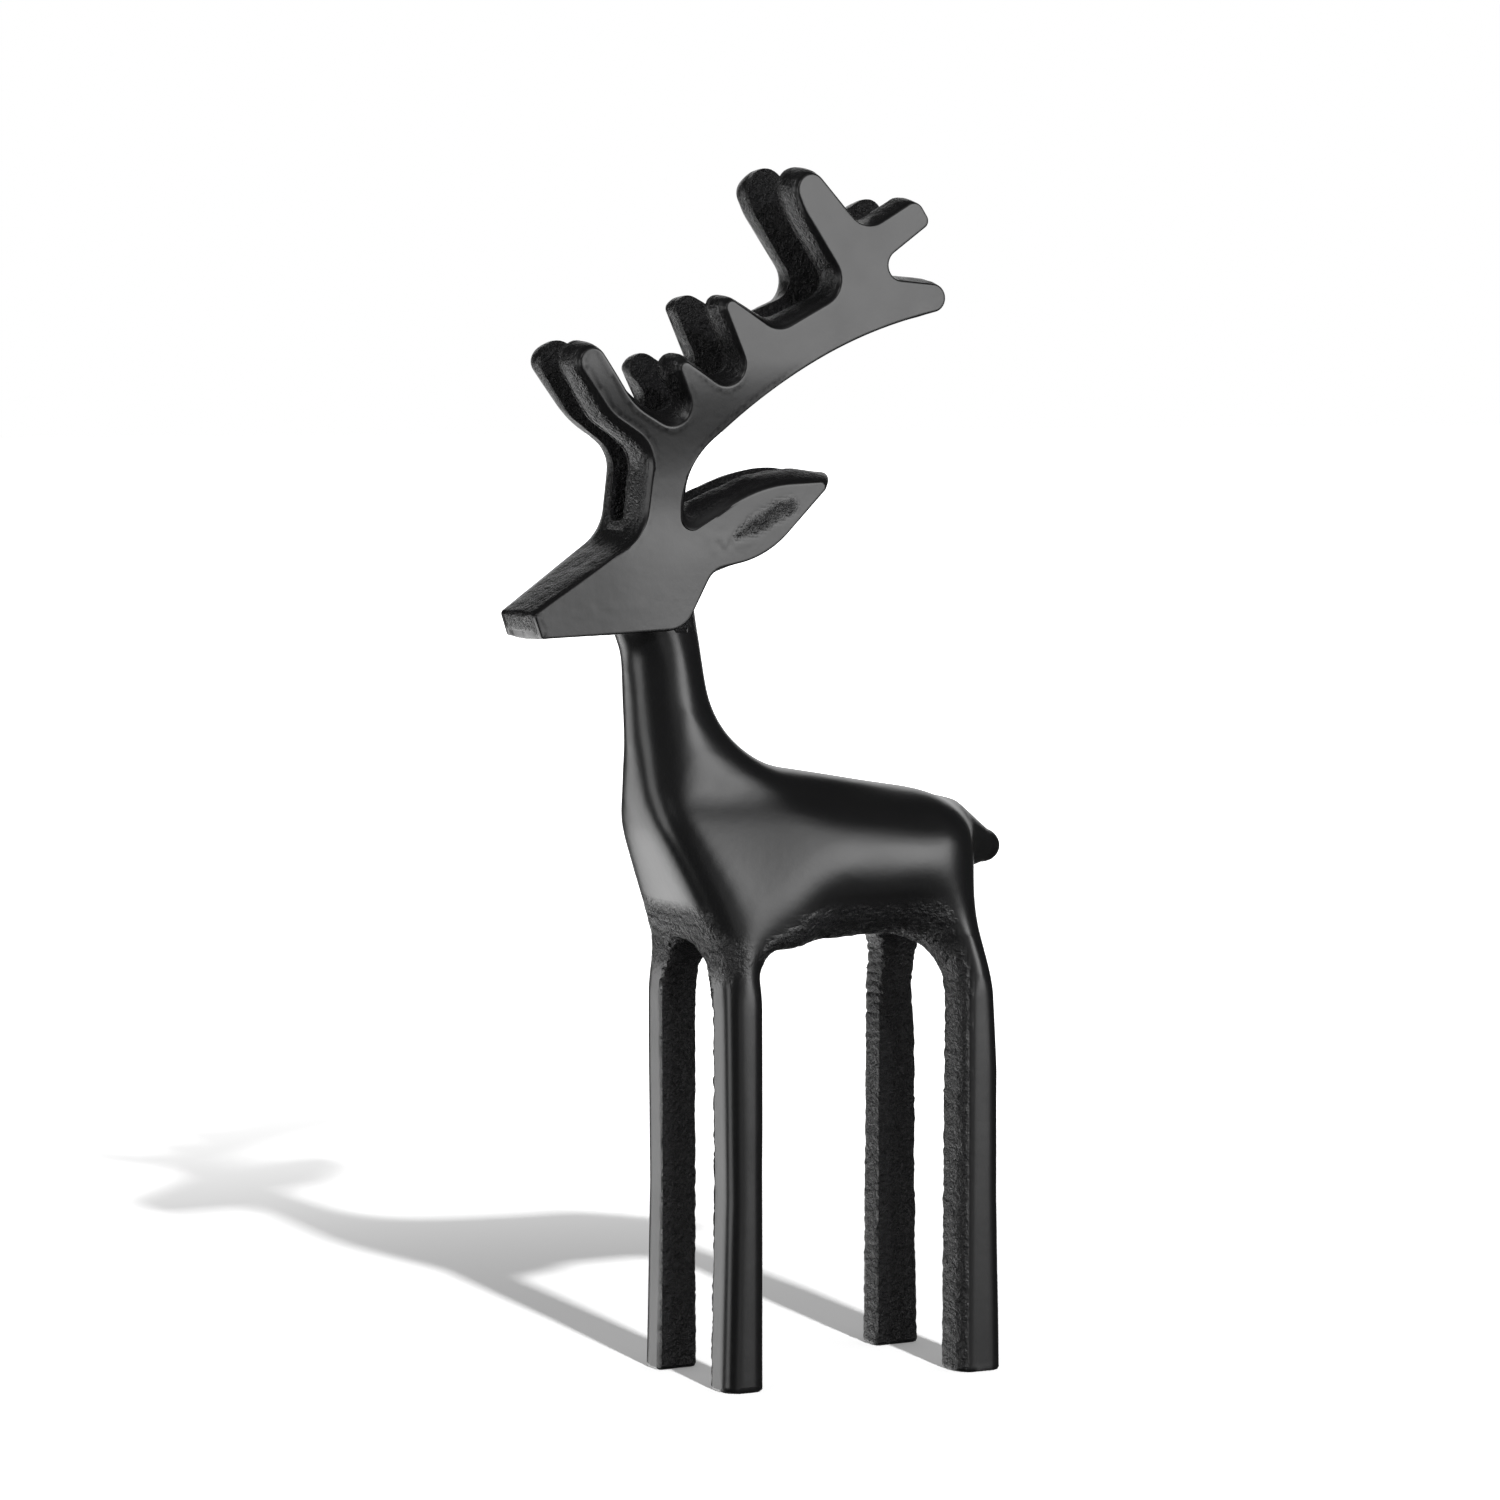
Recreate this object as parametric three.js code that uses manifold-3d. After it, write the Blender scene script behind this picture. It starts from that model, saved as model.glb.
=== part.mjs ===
// Standing stag with six-point antlers, sand cast in iron as one piece.
// Millimetres, +Z up. The stag looks towards -X, and Y = 0 is its plane of symmetry.
// The soles stand on Z = 0 and the origin is the middle of its box on the ground.

import * as THREE from 'three';
import { mergeVertices } from 'three/addons/utils/BufferGeometryUtils.js';
import Module from 'manifold-3d';

const wasm = await Module();
wasm.setup();

// Head and antlers: two flat plates that join into one thick head
const PLATE = 5.7; // thickness of one antler or ear
const NOSE_HALF = 6.4; // half thickness of the head at the nose
const ROOT_HALF = 8.8; // half thickness where the antlers stand on the head
const ANTLER_SPLAY = 2.0; // how far each antler leans out above its root
const SPLAY = [150, 170]; // heights between which the antler leans out
const NOSE_X = -46;
const ROOT_X = -23.6;
const WALL_SHARE = 0.5; // share of the half thickness over which the walls swell
const SLOT_FLOOR = 143.5; // bottom of the slot between the antlers
const SLOT_BEND_X = -17; // behind this the slot falls away to part the ears
const SLOT_FALL = 0.75;

// Body: a side profile as wide as the stance, with a tunnel between the legs
const STANCE_HALF = 15.9; // half width over the front legs
const FRONT_LEG_X = -11.4;
const STANCE_SPREAD = 0.0436; // half width gained per millimetre towards the tail
const TUNNEL_HALF = 9.0; // half gap between the front legs
const TUNNEL_SPRING = 61; // height where the tunnel starts to arch
const TUNNEL_TOP = 74;
const FLANK_TUCK = 0.7; // the flanks are this much narrower than the leg tops
const FLANK = { z: 86, bend: 17, up: 12, down: 14 }; // a barrel of this bend radius about z
const BELLY = { front: [-2, 8], back: [30, 20], z: [62, 70] }; // the reach of the belly
const FRONT_CROWN = 1.2; // the breast and back fall away this much towards the flanks
const NECK_HALF = 7.4; // half width of the neck under the jaw
const NECK_Z = 122;
const NECK_TAPER = 0.1; // half width gained per millimetre down the neck
const SHOULDER = { z: 110, depth: 22, swell: 3 }; // the neck widens into the shoulders
const WITHERS = { x: -10, slope: 0.5, bend: 80 }; // and into the back behind this
const WIDTH_BLEND = { low: 3, growth: 6, z: [78, 92] }; // softness of the neck's meeting with the stance
const LEG_ROUND = 2.8; // rounding of the outer edges of a leg
const BODY_ROUND = 9; // rounding of the edges of the back and belly
const BREAST_ROUND = 5; // rounding of the edges of the breast
const NECK_ROUND = 7; // rounding of the edges of the neck
const RUMP_ROUND = 7.5; // rounding of the edges of the rump
const LEG_TO_BODY = [63, 81]; // heights between which the legs' rounding becomes the body's
const BREAST_TO_NECK = [94, 110]; // and the breast's becomes the neck's
const NECK_REACH = [8, -8]; // along x, where the body's rounding becomes the neck's
const RUMP_REACH = [22, 32]; // and the rump's
const TUNNEL_EDGE = 1.2; // softness of the inner edges of the legs
const TAIL = { root: [34.2, 88.8], tip: [42.3, 87.2], rootRadius: 7.1, tipRadius: 3.1 };
const TAIL_SQUASH = 0.75; // height of the tail as a share of its width
const TAIL_BLEND = 3; // softness of the corner under the tail

// A profile is a taut belt round discs. IN is a disc in the metal, such as the tip
// of a tine, and OUT is a disc outside it, such as the crotch between two tines.
const IN = 1;
const OUT = -1;
const disc = (x, z, radius, side) => ({ x, z, radius, side });

// A disc of the head on the ground face of an antler, and how it differs on the slot
// side: how far the outline grows there, and how far the disc moves along x and z
function headDisc(x, z, radius, side, grow, dx = 0, dz = 0) {
  return {
    face: disc(x, z, radius, side),
    inner: disc(x + dx, z + dz, radius + side * grow, side),
  };
}

const HEAD_PROFILE = [
  headDisc(-43.9, 125.5, 0.6, IN, 0.3), // lower lip
  headDisc(-44.8, 128.5, 0.7, IN, 0.5), // tip of the nose
  headDisc(-34.0, 146.5, 8.3, OUT, 1.0, -0.9, -1.5), // forehead
  headDisc(-31.7, 152.4, 6.8, OUT, 1.9), // front of the antler root
  headDisc(-25.9, 168.6, 10.0, IN, 1.6), // back of the brow tine
  headDisc(-36.4, 169.6, 2.2, IN, 1.2, 0, 0.1), // brow tine
  headDisc(-20.6, 171.5, 12.0, OUT, 0.7, 0, 1.5),
  headDisc(-22.1, 162.4, 3.3, OUT, 1.0, -0.3, 1.5),
  headDisc(-20.1, 168.5, 1.0, IN, 1.5, 0, 0.1), // second tine
  headDisc(-12.6, 169.1, 3.5, OUT, 1.0, -0.2, 0.9),
  headDisc(-11.7, 178.4, 1.1, IN, 1.1), // third tine
  headDisc(-2.8, 179.4, 4.5, OUT, 1.2, 0, 0.8),
  headDisc(4.2, 183.1, 4.5, OUT, 1.1),
  headDisc(8.9, 198.2, 8.0, IN, 1.0),
  headDisc(3.2, 197.7, 2.6, IN, 1.0, 0, 0.4), // fourth tine
  headDisc(14.2, 196.4, 4.5, OUT, 0.7, 0, 0.5),
  headDisc(22.6, 193.9, 1.9, IN, 1.1), // fifth tine
  headDisc(24.0, 192.9, 1.3, IN, 0.7),
  headDisc(20.3, 185.5, 2.6, OUT, 1.0, 0, 0.2),
  headDisc(26.3, 180.1, 2.3, IN, 0.7, -0.1, 0.3), // last tine, the end of the beam
  headDisc(43.3, 94.5, 84.9, OUT, 0.5), // underside of the beam
  headDisc(-4.8, 145.4, 15.0, OUT, 0.7, 1.1, 1.2),
  headDisc(-17.9, 144.1, 1.9, OUT, 0.1, 1.3, 4.3), // between antler and ear
  headDisc(1.9, 124.6, 24.9, IN, 4.7, 0.6, -2.3), // top of the ear
  headDisc(6.0, 148.8, 0.9, IN, -0.1, 2.9, 1.7), // tip of the ear
  headDisc(-12.8, 154.2, 18.0, IN, 0.4), // underside of the ear
  headDisc(-11.4, 131.9, 4.2, OUT, 1.2), // nape
  headDisc(-22.4, 130.8, 5.0, IN, 0.5), // jaw
];

const BODY_PROFILE = [
  disc(-14.8, -3.0, 0.4, IN), // front toe
  disc(-74.4, 32.0, 60.0, OUT), // front shin
  disc(-24.8, 69.6, 10.0, OUT), // foot of the breast
  disc(0.2, 100.2, 24.9, IN), // breast
  disc(-26.8, 137.0, 0.5, IN), // throat, inside the head
  disc(-15.4, 137.0, 0.5, IN), // nape, inside the head
  disc(5.0, 119.2, 17.3, OUT), // hollow of the neck
  disc(25.9, 89.2, 8.7, IN), // rump
  disc(54.8, 75.0, 20.0, OUT), // back of the thigh
  disc(5.6, 50.0, 30.4, IN),
  disc(96.0, 30.0, 60.0, OUT), // hind shank
  disc(36.3, -3.0, 0.4, IN), // hind heel
  disc(28.5, -3.0, 0.4, IN), // hind toe
  disc(20.6, 65.4, 8.0, OUT), // flank
  disc(-3.2, 67.7, 4.6, OUT), // elbow
  disc(-8.2, -3.0, 0.4, IN), // front heel
];

// Mesh steps
const ARC_STEP = 0.3; // radians along a round stretch of a profile
const MOST_TURN = 4.2; // radians that a profile may turn on one disc
const LEG_TOP = 58; // the body grid is coarse along the legs below this
const GRID_STEP = 2.15;
const LEG_STEP = 5.2;
const CELL_MARGIN = 0.12; // a point of the body's surface keeps this far inside its cell
const NECK_TOP = 134.5; // the neck ends inside the head
const THROAT = { z: [120.5, 125.5], x: [-18, -24], flare: 1.3 }; // swells into the head

const CENTRE_SHIFT = 0.3; // puts the middle of the box over the origin

const { abs, atan2, acos, ceil, cos, hypot, max, min, PI, sin, sqrt } = Math;

function ease(t) {
  const s = min(max(t, 0), 1);
  return s * s * (3 - 2 * s);
}

// Rises smoothly from 0 to 1 as t goes from one value to another
function between(t, [from, to]) {
  return ease((t - from) / (to - from));
}

// The belt, clockwise seen with +X to the right and +Z up. Between two discs it is a
// straight tangent, and on a disc it is an arc. The counts are the steps of each arc, and
// a second belt round as many discs that is given them has its points beside the first's.
function belt(discs, counts = []) {
  const reach = discs.map((d) => d.radius * d.side);
  const leave = discs.map((d, i) => {
    const j = (i + 1) % discs.length;
    const [dx, dz] = [discs[j].x - d.x, discs[j].z - d.z];
    return atan2(dz, dx) + acos((reach[i] - reach[j]) / hypot(dx, dz));
  });
  const points = [];
  discs.forEach((d, i) => {
    const from = leave[(i + discs.length - 1) % discs.length];
    const turn = (d.side * (leave[i] - from)) % (2 * PI);
    const sweep = d.side * ((turn - 2 * PI) % (2 * PI));
    if (!(abs(sweep) < MOST_TURN)) throw new Error(`the belt misses disc ${i}`);
    counts[i] ??= max(1, ceil(abs(sweep) / ARC_STEP));
    for (let k = 0; k <= counts[i]; k++) {
      const angle = from + (sweep * k) / counts[i];
      points.push(new THREE.Vector2(
        d.x + reach[i] * cos(angle),
        d.z + reach[i] * sin(angle),
      ));
    }
  });
  return { points, counts };
}

function toManifold(geometry) {
  geometry.deleteAttribute('normal');
  geometry.deleteAttribute('uv');
  const merged = mergeVertices(geometry, 1e-4);
  return new wasm.Manifold(new wasm.Mesh({
    numProp: 3,
    vertProperties: new Float32Array(merged.attributes.position.array),
    triVerts: new Uint32Array(merged.index.array),
  }));
}

function fromRows(positions, triangles) {
  const geometry = new THREE.BufferGeometry();
  geometry.setAttribute('position', new THREE.Float32BufferAttribute(positions, 3));
  geometry.setIndex(triangles);
  return geometry;
}

// Half thickness of the head and antlers over the side view
function halfThickness(x, z) {
  const along = min(max((x - NOSE_X) / (ROOT_X - NOSE_X), 0), 1);
  return NOSE_HALF + (ROOT_HALF - NOSE_HALF) * along + ANTLER_SPLAY * between(z, SPLAY);
}

// Head, ears and antlers as one thick plate: rings from the near face to the far face
function headPlate() {
  const { points: face, counts } = belt(HEAD_PROFILE.map((d) => d.face));
  const { points: inner } = belt(HEAD_PROFILE.map((d) => d.inner), counts);
  const layers = [[-1, face], [WALL_SHARE - 1, inner], [1 - WALL_SHARE, inner], [1, face]];
  const count = face.length;
  const positions = [];
  for (const [depth, ring] of layers) {
    ring.forEach((p, i) => {
      positions.push(p.x, depth * halfThickness(face[i].x, face[i].y), p.y);
    });
  }
  const triangles = [];
  for (let layer = 0; layer < layers.length - 1; layer++) {
    for (let i = 0; i < count; i++) {
      const a = layer * count + i;
      const b = layer * count + ((i + 1) % count);
      triangles.push(a, b, a + count, b, b + count, a + count);
    }
  }
  const last = (layers.length - 1) * count;
  for (const [a, b, c] of THREE.ShapeUtils.triangulateShape(face, [])) {
    triangles.push(a, b, c, last + c, last + b, last + a);
  }
  return fromRows(positions, triangles);
}

// A block between two surfaces y = -side(x, z) and y = +side(x, z), where the rows
// run up from floor(x) to a flat top
function block(xs, rows, floor, top, side) {
  const positions = [];
  for (const face of [-1, 1]) {
    for (const x of xs) {
      for (let j = 0; j <= rows; j++) {
        const z = floor(x) + ((top - floor(x)) * j) / rows;
        positions.push(x, face * side(x, z), z);
      }
    }
  }
  const columns = xs.length - 1;
  const at = (face, i, j) => face * xs.length * (rows + 1) + i * (rows + 1) + j;
  const triangles = [];
  const quad = (a, b, c, d) => triangles.push(a, b, c, a, c, d);
  for (let i = 0; i < columns; i++) {
    for (let j = 0; j < rows; j++) {
      quad(at(0, i, j), at(0, i + 1, j), at(0, i + 1, j + 1), at(0, i, j + 1));
      quad(at(1, i, j), at(1, i, j + 1), at(1, i + 1, j + 1), at(1, i + 1, j));
    }
    quad(at(0, i, 0), at(1, i, 0), at(1, i + 1, 0), at(0, i + 1, 0));
    quad(at(0, i, rows), at(0, i + 1, rows), at(1, i + 1, rows), at(1, i, rows));
  }
  for (let j = 0; j < rows; j++) {
    quad(at(0, 0, j), at(0, 0, j + 1), at(1, 0, j + 1), at(1, 0, j));
    quad(at(0, columns, j), at(1, columns, j), at(1, columns, j + 1), at(0, columns, j + 1));
  }
  return fromRows(positions, triangles);
}

// The space between the two antlers and between the two ears
function slotCore() {
  const floor = (x) => SLOT_FLOOR - SLOT_FALL * max(x - SLOT_BEND_X, 0);
  const xs = [-60, -40, -32, ROOT_X, SLOT_BEND_X, -8, 2, 14, 40];
  return block(xs, 14, floor, 210, (x, z) => halfThickness(x, z) - PLATE);
}

// Everything below the ground, so that the soles are cut flat
function ground() {
  const geometry = new THREE.BoxGeometry(200, 100, 40);
  geometry.translate(0, 0, -20);
  return geometry;
}

const bodyOutline = belt(BODY_PROFILE).points;

// Signed distance to the side profile, negative in the metal
function sideDistance(x, z) {
  let best = Infinity;
  let inside = false;
  for (let i = 0; i < bodyOutline.length; i++) {
    const a = bodyOutline[i];
    const b = bodyOutline[(i + 1) % bodyOutline.length];
    const [ex, ez] = [b.x - a.x, b.y - a.y];
    const length = ex * ex + ez * ez;
    if (length < 1e-9) continue;
    const t = min(max(((x - a.x) * ex + (z - a.y) * ez) / length, 0), 1);
    best = min(best, hypot(x - a.x - t * ex, z - a.y - t * ez));
    if (a.y > z !== b.y > z && x < a.x + ((z - a.y) / ez) * ex) inside = !inside;
  }
  return inside ? -best : best;
}

// 1 between the front and the hind legs, 0 over them
function belly(x) {
  return between(x, BELLY.front) * between(x, BELLY.back);
}

// Half width of the body over the side view: the stance, narrowing up the neck
function bodyHalf(x, z) {
  const above = min(max(z - FLANK.z, 0), FLANK.up);
  const below = min(max(FLANK.z - z, 0), FLANK.down);
  const tuck = FLANK_TUCK * between(z, LEG_TO_BODY)
    + (above ** 2 + belly(x) * below ** 2) / (2 * FLANK.bend);
  const stance = STANCE_HALF + STANCE_SPREAD * (x - FRONT_LEG_X) - tuck;
  const back = x - WITHERS.x;
  const neck = NECK_HALF + NECK_TAPER * (NECK_Z - z)
    + SHOULDER.swell * ease((SHOULDER.z - z) / SHOULDER.depth)
    + (WITHERS.slope * (back + sqrt(back * back + WITHERS.bend))) / 2;
  return softMin(stance, neck, WIDTH_BLEND.low + WIDTH_BLEND.growth * between(z, WIDTH_BLEND.z));
}

// Rounding of the long edges: small on the legs, large on the back, middling on the neck
function edgeRound(x, z) {
  const neck = BREAST_ROUND + (NECK_ROUND - BREAST_ROUND) * between(z, BREAST_TO_NECK);
  const torso = BODY_ROUND - (BODY_ROUND - neck) * between(x, NECK_REACH)
    - (BODY_ROUND - RUMP_ROUND) * between(x, RUMP_REACH);
  const above = max(between(z, LEG_TO_BODY), belly(x) * between(z, BELLY.z));
  return LEG_ROUND + (torso - LEG_ROUND) * above;
}

function softMin(a, b, k) {
  const h = max(k - abs(a - b), 0) / k;
  return min(a, b) - (h * h * k) / 4;
}

// Intersection of two fields whose common edge has a true radius
function roundMax(a, b, r) {
  return min(max(a, b), -r) + hypot(max(a + r, 0), max(b + r, 0));
}

// Arched tunnel along X between the left and the right legs
function tunnel(x, y, z) {
  const half = TUNNEL_HALF + STANCE_SPREAD * (x - FRONT_LEG_X);
  const rise = max(z - TUNNEL_SPRING, 0) / (TUNNEL_TOP - TUNNEL_SPRING);
  return (hypot(y / half, rise) - 1) * half;
}

// Stub of a tail: a round cone that is a little wider than it is high
function tail(x, y, z) {
  const { root, tip, rootRadius, tipRadius } = TAIL;
  const [ux, uz] = [tip[0] - root[0], tip[1] - root[1]];
  const t = min(max(((x - root[0]) * ux + (z - root[1]) * uz) / (ux * ux + uz * uz), 0), 1);
  const radius = rootRadius + (tipRadius - rootRadius) * t;
  return hypot(x - root[0] - t * ux, z - root[1] - t * uz, TAIL_SQUASH * y) - radius;
}

// The body as a field, negative in the metal
function bodyField(x, y, z) {
  const half = bodyHalf(x, z);
  const crown = FRONT_CROWN * between(z, LEG_TO_BODY) * (y / half) ** 2;
  let d = roundMax(sideDistance(x, z) + crown, abs(y) - half, edgeRound(x, z));
  d -= THROAT.flare * between(z, THROAT.z) ** 2 * between(x, THROAT.x);
  d = softMin(d, tail(x, y, z), TAIL_BLEND);
  return -softMin(-d, tunnel(x, y, z), TUNNEL_EDGE);
}

function steps(from, to, step) {
  const count = ceil((to - from) / step);
  return Array.from({ length: count + 1 }, (_, i) => from + ((to - from) * i) / count);
}

// Where the four corners of a grid face lie inside and outside in turn, the surface
// would pinch, so the corner nearest to the surface changes sides
function unpinch(value, nx, ny, nz, at) {
  const turns = [[1, 0, 0, 0, 1, 0], [0, 1, 0, 0, 0, 1], [0, 0, 1, 1, 0, 0]];
  for (let i = 0; i < nx - 1; i++) {
    for (let j = 0; j < ny - 1; j++) {
      for (let k = 0; k < nz - 1; k++) {
        for (const [a, b, c, d, e, f] of turns) {
          const round = [
            at(i, j, k), at(i + a, j + b, k + c),
            at(i + a + d, j + b + e, k + c + f), at(i + d, j + e, k + f),
          ];
          const inside = round.map((n) => value[n] < 0);
          if (inside[0] !== inside[2] || inside[1] !== inside[3] || inside[0] === inside[1]) continue;
          const weakest = round.reduce((m, n) => (abs(value[n]) < abs(value[m]) ? n : m));
          value[weakest] *= -1;
        }
      }
    }
  }
}

// Closed surface where the field is zero. Each grid cell that the surface crosses
// gets one point, moved on to the surface, and each crossed grid edge gets one face.
function surfaceOf(field, xs, ys, zs) {
  const [nx, ny, nz] = [xs.length, ys.length, zs.length];
  const at = (i, j, k) => (i * ny + j) * nz + k;
  const value = new Float64Array(nx * ny * nz);
  xs.forEach((x, i) => ys.forEach((y, j) => zs.forEach((z, k) => {
    value[at(i, j, k)] = field(x, y, z);
  })));
  unpinch(value, nx, ny, nz, at);
  const cell = new Int32Array(nx * ny * nz).fill(-1);
  const positions = [];
  const corners = [0, 1, 2, 3, 4, 5, 6, 7].map((c) => [c & 1, (c >> 1) & 1, c >> 2]);
  for (let i = 0; i < nx - 1; i++) {
    for (let j = 0; j < ny - 1; j++) {
      for (let k = 0; k < nz - 1; k++) {
        const sum = new THREE.Vector3();
        let crossings = 0;
        for (let c = 0; c < 8; c++) {
          for (const bit of [1, 2, 4]) {
            if (c & bit) continue;
            const [p, q] = [corners[c], corners[c | bit]];
            const u = value[at(i + p[0], j + p[1], k + p[2])];
            const v = value[at(i + q[0], j + q[1], k + q[2])];
            if (u < 0 === v < 0) continue;
            const t = u / (u - v);
            sum.add(new THREE.Vector3(
              xs[i + p[0]] + t * (xs[i + q[0]] - xs[i + p[0]]),
              ys[j + p[1]] + t * (ys[j + q[1]] - ys[j + p[1]]),
              zs[k + p[2]] + t * (zs[k + q[2]] - zs[k + p[2]]),
            ));
            crossings++;
          }
        }
        if (!crossings) continue;
        cell[at(i, j, k)] = positions.length / 3;
        const room = new THREE.Box3(
          new THREE.Vector3(xs[i], ys[j], zs[k]),
          new THREE.Vector3(xs[i + 1], ys[j + 1], zs[k + 1]),
        ).expandByScalar(-CELL_MARGIN);
        const point = settle(field, sum.divideScalar(crossings), room);
        positions.push(point.x, point.y, point.z);
      }
    }
  }
  const triangles = [];
  const face = (a, b, c, d, flip) => {
    if (flip) triangles.push(a, b, c, a, c, d);
    else triangles.push(a, c, b, a, d, c);
  };
  for (let i = 1; i < nx - 1; i++) {
    for (let j = 1; j < ny - 1; j++) {
      for (let k = 1; k < nz - 1; k++) {
        const inside = value[at(i, j, k)] < 0;
        if (inside !== value[at(i + 1, j, k)] < 0) {
          face(cell[at(i, j - 1, k - 1)], cell[at(i, j, k - 1)],
            cell[at(i, j, k)], cell[at(i, j - 1, k)], inside);
        }
        if (inside !== value[at(i, j + 1, k)] < 0) {
          face(cell[at(i - 1, j, k - 1)], cell[at(i - 1, j, k)],
            cell[at(i, j, k)], cell[at(i, j, k - 1)], inside);
        }
        if (inside !== value[at(i, j, k + 1)] < 0) {
          face(cell[at(i - 1, j - 1, k)], cell[at(i, j - 1, k)],
            cell[at(i, j, k)], cell[at(i - 1, j, k)], inside);
        }
      }
    }
  }
  return fromRows(positions, triangles);
}

// Moves a point on to the surface along the slope of the field, within its own cell
function settle(field, point, room) {
  const e = 0.05;
  for (let pass = 0; pass < 3; pass++) {
    const { x, y, z } = point;
    const d = field(x, y, z);
    const slope = new THREE.Vector3(
      field(x + e, y, z) - field(x - e, y, z),
      field(x, y + e, z) - field(x, y - e, z),
      field(x, y, z + e) - field(x, y, z - e),
    ).divideScalar(2 * e);
    const move = d / max(slope.lengthSq(), 0.25);
    point.addScaledVector(slope, -move);
    room.clampPoint(point, point);
  }
  return point;
}

function body() {
  const xs = steps(-31, 50, GRID_STEP);
  const ys = steps(-21.5, 21.5, GRID_STEP);
  const zs = [...steps(-12, LEG_TOP, LEG_STEP), ...steps(LEG_TOP, NECK_TOP + 5, GRID_STEP).slice(1)];
  return surfaceOf((x, y, z) => max(bodyField(x, y, z), z - NECK_TOP), xs, ys, zs);
}

const castIron = new THREE.MeshStandardMaterial({
  name: 'black_cast_iron',
  color: 0x141414,
  roughness: 0.34,
  metalness: 0.25,
});

function stagCasting() {
  const head = toManifold(headPlate()).subtract(toManifold(slotCore()));
  const whole = head.add(toManifold(body())).subtract(toManifold(ground()));
  const { vertProperties, triVerts } = whole.getMesh();
  const geometry = fromRows(Array.from(vertProperties), Array.from(triVerts));
  geometry.translate(CENTRE_SHIFT, 0, 0);
  geometry.computeVertexNormals();
  const mesh = new THREE.Mesh(geometry, castIron);
  mesh.name = 'stag_casting';
  return mesh;
}

const stag = new THREE.Group();
stag.add(stagCasting());

export default stag;
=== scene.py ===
"""Black cast iron stag: the finished surface of the casting, and a pale studio round it."""

import math

import bpy
import numpy as np
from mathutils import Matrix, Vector
from mathutils.geometry import delaunay_2d_cdt


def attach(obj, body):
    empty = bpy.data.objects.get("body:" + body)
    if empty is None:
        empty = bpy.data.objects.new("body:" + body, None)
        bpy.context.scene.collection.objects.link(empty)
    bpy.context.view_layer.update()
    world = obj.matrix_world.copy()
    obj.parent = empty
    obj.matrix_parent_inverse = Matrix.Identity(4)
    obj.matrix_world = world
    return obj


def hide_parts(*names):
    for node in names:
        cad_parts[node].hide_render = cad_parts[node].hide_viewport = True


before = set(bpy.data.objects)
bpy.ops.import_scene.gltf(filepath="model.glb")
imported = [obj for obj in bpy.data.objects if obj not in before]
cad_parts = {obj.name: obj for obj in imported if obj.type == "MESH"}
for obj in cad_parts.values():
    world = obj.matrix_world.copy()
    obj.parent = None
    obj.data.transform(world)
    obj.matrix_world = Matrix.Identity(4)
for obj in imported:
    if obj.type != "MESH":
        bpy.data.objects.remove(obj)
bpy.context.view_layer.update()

bl_info = {
    "name": "Cast Stag",
    "version": (1, 0, 0),
    "blender": (4, 5, 0),
    "location": "3D View > Sidebar > Stag",
    "description": "Builds a cast iron stag with flat antlers and a studio round it",
    "category": "Add Mesh",
}

MM = 0.001
NODE = "stag_casting"
SHARP_ANGLE = 38.0  # edges sharper than this stay crisp, in degrees

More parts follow.
